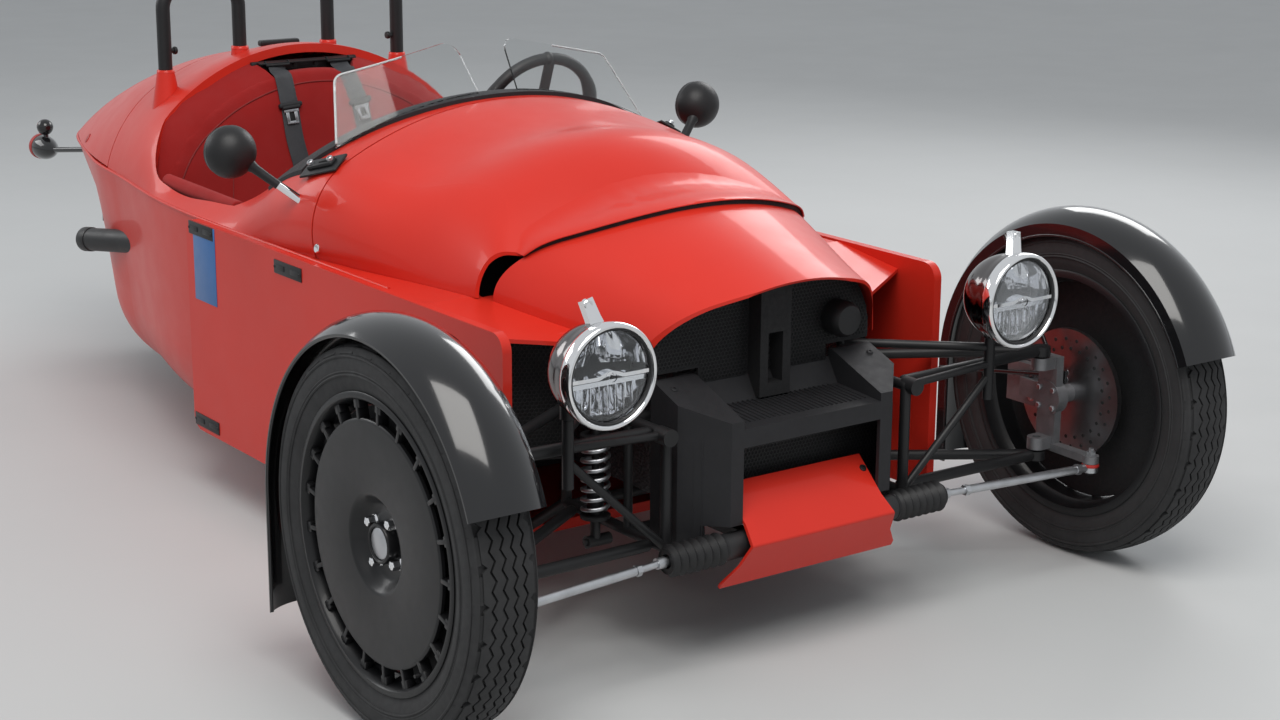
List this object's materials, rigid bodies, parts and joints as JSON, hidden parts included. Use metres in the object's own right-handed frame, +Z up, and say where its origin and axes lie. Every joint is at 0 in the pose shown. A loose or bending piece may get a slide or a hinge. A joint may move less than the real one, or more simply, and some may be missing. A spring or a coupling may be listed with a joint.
{
  "type": "three wheeled open two seat car",
  "caption": "Open three wheeled car with cycle wings on steered front wheels, a driven rear wheel and a tapered tail.",
  "frame": {"origin": "on the ground under the middle of the car's overall length and width", "axes": "+Z up, -Y is the way the car drives, +X is the car's left side"},
  "size_m": [1.85, 3.5812, 1.132],
  "materials": {
    "body_paint": "gloss",
    "black_paint": "gloss",
    "satin_black": "satin",
    "moulded_plastic": "matte",
    "mesh_steel": "satin",
    "engine_metal": "matte",
    "bare_steel": "satin",
    "cast_metal": "matte",
    "bright_metal": "polished",
    "disc_metal": "turned",
    "clear_screen": "clear",
    "tyre_rubber": "matte",
    "bellows_rubber": "matte",
    "seat_trim": "matte",
    "grip_trim": "satin"
  },
  "bodies": {
    "chassis": {"nose_cowl": "body_paint", "bonnet": "body_paint", "body_upper": "body_paint", "body_lower": "body_paint", "sideblades": "body_paint", "side_ducts": "body_paint", "hoop_bases": "body_paint", "lower_cover": "body_paint", "roll_hoops": "black_paint", "mirrors": "black_paint", "tail_lamps": "black_paint", "front_frame": "satin_black", "wishbones": "satin_black", "swing_arm": "satin_black", "plate_bracket": "satin_black", "steering_column": "satin_black", "dash": "satin_black", "exhaust": "satin_black", "front_shroud": "moulded_plastic", "windscreen_strip": "moulded_plastic", "wheel_tub": "moulded_plastic", "firewall": "moulded_plastic", "grilles": "mesh_steel", "engine": "engine_metal", "dampers": "bare_steel", "headlamps": "bright_metal", "windscreens": "clear_screen", "rack_housing": "bellows_rubber", "seat_cushion": "seat_trim", "seat_back": "seat_trim", "elbow_pads": "seat_trim"},
    "knuckle_r": {"upright_r": "cast_metal", "wing_r": "black_paint", "caliper_r": "cast_metal"},
    "knuckle_l": {"upright_l": "cast_metal", "wing_l": "black_paint", "caliper_l": "cast_metal"},
    "front_wheel_r": {"wheel_r": "satin_black", "tyre_r": "tyre_rubber", "brake_disc_r": "disc_metal"},
    "front_wheel_l": {"wheel_l": "satin_black", "tyre_l": "tyre_rubber", "brake_disc_l": "disc_metal"},
    "rear_wheel": {"wheel_rear": "satin_black", "tyre_rear": "tyre_rubber"},
    "steering_rack": {"rack": "bare_steel"},
    "hand_wheel": {"steering_wheel": "grip_trim"},
    "boot": {"boot_lid": "body_paint"}
  },
  "joints": [
    {"name": "steer_r", "type": "hinge", "parent": "chassis", "child": "knuckle_r", "pos_m": [-0.715, -1.41963, 0.355], "axis": [0, 0, 1], "range_deg": [-25, 25]},
    {"name": "steer_l", "type": "hinge", "parent": "chassis", "child": "knuckle_l", "pos_m": [0.715, -1.41963, 0.355], "axis": [0, 0, 1], "range_deg": [-25, 25]},
    {"name": "front_spin_r", "type": "hinge", "parent": "knuckle_r", "child": "front_wheel_r", "pos_m": [-0.852, -1.41963, 0.355], "axis": [1, 0, 0], "continuous": true},
    {"name": "front_spin_l", "type": "hinge", "parent": "knuckle_l", "child": "front_wheel_l", "pos_m": [0.852, -1.41963, 0.355], "axis": [1, 0, 0], "continuous": true},
    {"name": "rear_spin", "type": "hinge", "parent": "chassis", "child": "rear_wheel", "pos_m": [0, 1.08037, 0.317], "axis": [1, 0, 0], "continuous": true},
    {"name": "rack_travel", "type": "slide", "parent": "chassis", "child": "steering_rack", "axis": [1, 0, 0], "range_m": [-0.0568, 0.0568]},
    {"name": "hand_wheel_turn", "type": "hinge", "parent": "chassis", "child": "hand_wheel", "pos_m": [0.29, -0.11963, 0.83], "axis": [0, 0.9397, 0.342], "range_deg": [-300, 300]},
    {"name": "boot_lid_hinge", "type": "hinge", "parent": "chassis", "child": "boot", "pos_m": [0, 1.52537, 0.668], "axis": [-1, 0, 0], "range_deg": [0, 60]}
  ],
  "couplings": [
    {"joint": "steer_l", "follows": "steer_r", "ratio": 1},
    {"joint": "rack_travel", "follows": "steer_r", "m_per_rad": 0.13},
    {"joint": "hand_wheel_turn", "follows": "steer_r", "ratio": 12}
  ]
}
